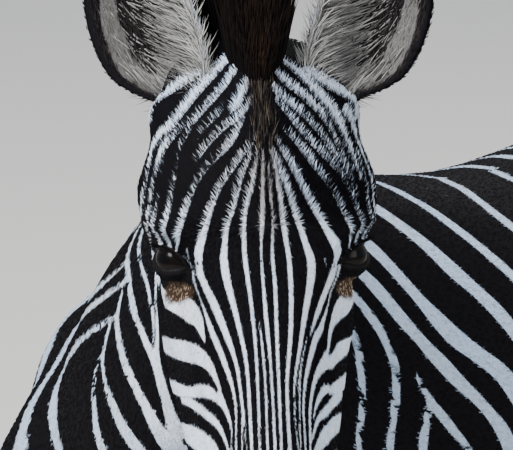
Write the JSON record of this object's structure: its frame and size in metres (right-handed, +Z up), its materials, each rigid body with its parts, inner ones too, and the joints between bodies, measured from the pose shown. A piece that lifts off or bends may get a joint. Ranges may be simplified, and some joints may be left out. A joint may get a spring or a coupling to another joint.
{
  "type": "zebra",
  "caption": "Standing zebra, a still life-size model, with its head turned to its left, ears up, erect mane and hanging tufted tail.",
  "frame": {"origin": "on the floor, under the middle of the bounding box", "axes": "the trunk lies along Y and faces -Y, +X is the zebra's left, +Z is up"},
  "size_m": [0.7894, 1.5333, 1.6593],
  "materials": {
    "coat": "short sleek coat in black and cool white stripes",
    "eyeball": "wet, dark brown",
    "horn": "dull dark grey horn",
    "hair": "coarse long hair, dark brown to black with pale bands"
  },
  "bodies": {
    "root": {"head": "coat", "muzzle": "coat", "neck": "coat", "chest": "coat", "barrel": "coat", "haunches": "coat", "ear_left": "coat", "ear_right": "coat", "forearm_left": "coat", "forearm_right": "coat", "gaskin_left": "coat", "gaskin_right": "coat", "cannon_fore_left": "coat", "cannon_fore_right": "coat", "cannon_hind_left": "coat", "cannon_hind_right": "coat", "tail_dock": "coat", "eye_left": "eyeball", "eye_right": "eyeball", "hoof_fore_left": "horn", "hoof_fore_right": "horn", "hoof_hind_left": "horn", "hoof_hind_right": "horn", "forelock": "hair", "mane": "hair", "tail_tuft": "hair"}
  },
  "joints": []
}
